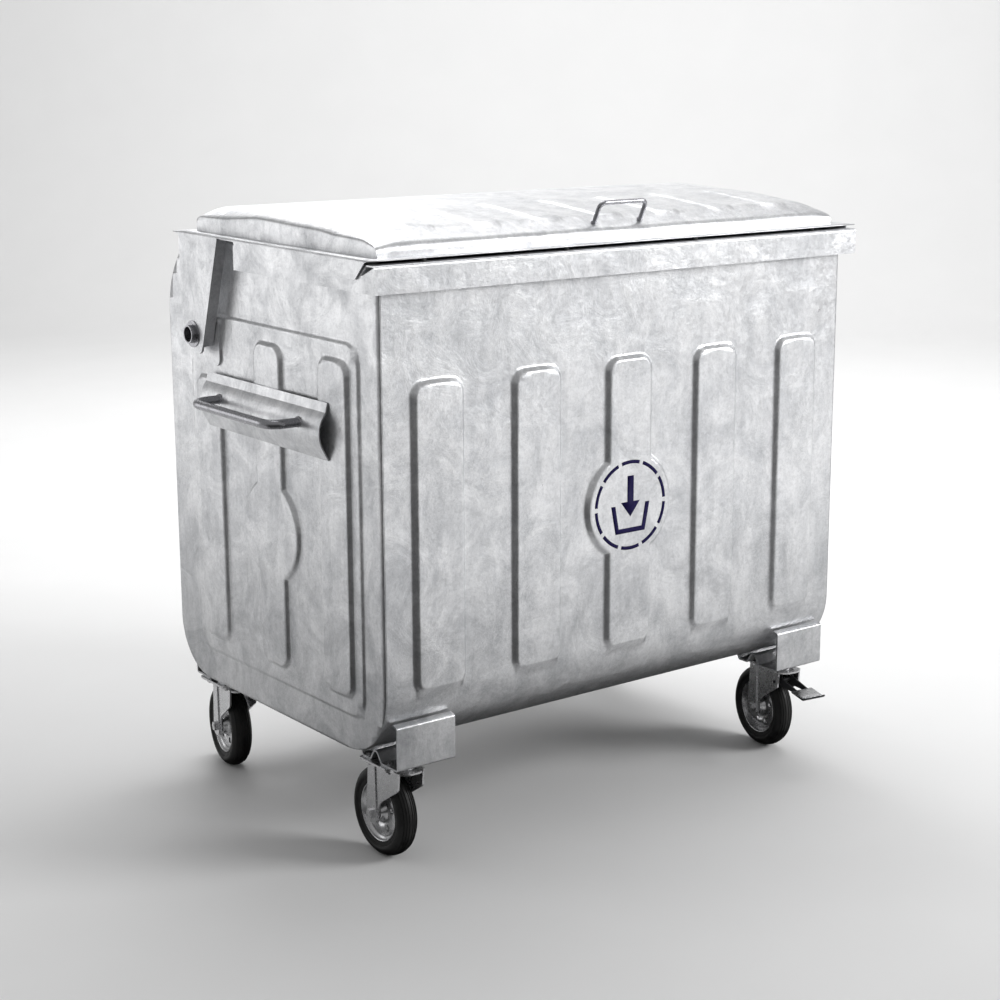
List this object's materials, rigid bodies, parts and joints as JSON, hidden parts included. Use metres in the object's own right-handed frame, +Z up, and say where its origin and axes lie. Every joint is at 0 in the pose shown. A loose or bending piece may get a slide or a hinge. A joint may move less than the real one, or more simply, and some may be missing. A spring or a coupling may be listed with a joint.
{
  "type": "four-wheeled waste container",
  "caption": "Galvanised steel waste container on swivel casters, with an arched lid hinged on side trunnions, pressed ribs, a front comb rim and bail handles.",
  "frame": {"origin": "on the ground, under the middle of the whole object's bounding box", "axes": "+X to the container's right along the trunnions, +Y to its back (the hinge side), +Z up"},
  "size_m": [1.506, 1.0043, 1.3853],
  "materials": {
    "galvanised_sheet": "hot-dip galvanised, fine spangle, dulled",
    "zinc_plate": "bright zinc plated",
    "wheel_rubber": "black, dull",
    "buffer_rubber": "black",
    "brake_black": "black, satin"
  },
  "bodies": {
    "tub": {"tub_wrap": "galvanised_sheet", "side_panel_left": "galvanised_sheet", "side_panel_right": "galvanised_sheet", "front_comb_rim": "galvanised_sheet", "side_rim_left": "galvanised_sheet", "side_rim_right": "galvanised_sheet", "rear_edge_bar": "galvanised_sheet", "trunnion_plate_left": "galvanised_sheet", "trunnion_plate_right": "galvanised_sheet", "trunnion_left": "galvanised_sheet", "trunnion_right": "galvanised_sheet", "handle_plate_left": "galvanised_sheet", "handle_plate_right": "galvanised_sheet", "side_handle_left": "galvanised_sheet", "side_handle_right": "galvanised_sheet", "caster_bracket_front_left": "galvanised_sheet", "caster_bracket_front_right": "galvanised_sheet", "caster_bracket_rear_left": "galvanised_sheet", "caster_bracket_rear_right": "galvanised_sheet", "caster_plate_front_left": "zinc_plate", "caster_plate_front_right": "zinc_plate", "caster_plate_rear_left": "zinc_plate", "caster_plate_rear_right": "zinc_plate", "caster_bolts": "zinc_plate", "kingpins": "zinc_plate"},
    "lid": {"lid_shell": "galvanised_sheet", "lid_rail_left": "galvanised_sheet", "lid_rail_right": "galvanised_sheet", "lid_rear_bar": "galvanised_sheet", "lid_arm_left": "galvanised_sheet", "lid_arm_right": "galvanised_sheet", "arm_bush_left": "galvanised_sheet", "arm_bush_right": "galvanised_sheet", "lid_handle": "galvanised_sheet", "lid_buffers": "buffer_rubber"},
    "swivel_front_left": {"fork_front_left": "zinc_plate", "axle_front_left": "zinc_plate"},
    "wheel_front_left": {"tyre_front_left": "wheel_rubber", "wheel_rim_front_left": "zinc_plate", "wheel_bearing_front_left": "zinc_plate"},
    "swivel_front_right": {"fork_front_right": "zinc_plate", "axle_front_right": "zinc_plate"},
    "wheel_front_right": {"tyre_front_right": "wheel_rubber", "wheel_rim_front_right": "zinc_plate", "wheel_bearing_front_right": "zinc_plate"},
    "pedal_front_right": {"brake_pedal_front_right": "brake_black"},
    "swivel_rear_left": {"fork_rear_left": "zinc_plate", "axle_rear_left": "zinc_plate"},
    "wheel_rear_left": {"tyre_rear_left": "wheel_rubber", "wheel_rim_rear_left": "zinc_plate", "wheel_bearing_rear_left": "zinc_plate"},
    "swivel_rear_right": {"fork_rear_right": "zinc_plate", "axle_rear_right": "zinc_plate"},
    "wheel_rear_right": {"tyre_rear_right": "wheel_rubber", "wheel_rim_rear_right": "zinc_plate", "wheel_bearing_rear_right": "zinc_plate"}
  },
  "joints": [
    {"name": "lid_hinge", "type": "hinge", "parent": "tub", "child": "lid", "pos_m": [0, 0.275, 1.076], "axis": [-1, 0, 0], "range_deg": [0, 100]},
    {"name": "swivel_turn_front_left", "type": "hinge", "parent": "tub", "child": "swivel_front_left", "pos_m": [-0.559, -0.347, 0.2], "axis": [0, 0, 1], "continuous": true},
    {"name": "wheel_spin_front_left", "type": "hinge", "parent": "swivel_front_left", "child": "wheel_front_left", "pos_m": [-0.559, -0.29, 0.1], "axis": [1, 0, 0], "continuous": true},
    {"name": "swivel_turn_front_right", "type": "hinge", "parent": "tub", "child": "swivel_front_right", "pos_m": [0.559, -0.347, 0.2], "axis": [0, 0, 1], "continuous": true},
    {"name": "wheel_spin_front_right", "type": "hinge", "parent": "swivel_front_right", "child": "wheel_front_right", "pos_m": [0.56693, -0.29056, 0.1], "axis": [0.9903, -0.1392, 0], "continuous": true},
    {"name": "pedal_press_front_right", "type": "hinge", "parent": "swivel_front_right", "child": "pedal_front_right", "pos_m": [0.55483, -0.37671, 0.19], "axis": [0.9903, -0.1392, 0], "range_deg": [-19, 0]},
    {"name": "swivel_turn_rear_left", "type": "hinge", "parent": "tub", "child": "swivel_rear_left", "pos_m": [-0.559, 0.347, 0.2], "axis": [0, 0, 1], "continuous": true},
    {"name": "wheel_spin_rear_left", "type": "hinge", "parent": "swivel_rear_left", "child": "wheel_rear_left", "pos_m": [-0.5491, 0.40313, 0.1], "axis": [0.9848, -0.1736, 0], "continuous": true},
    {"name": "swivel_turn_rear_right", "type": "hinge", "parent": "tub", "child": "swivel_rear_right", "pos_m": [0.559, 0.347, 0.2], "axis": [0, 0, 1], "continuous": true},
    {"name": "wheel_spin_rear_right", "type": "hinge", "parent": "swivel_rear_right", "child": "wheel_rear_right", "pos_m": [0.55403, 0.40378, 0.1], "axis": [0.9962, 0.0872, 0], "continuous": true}
  ]
}
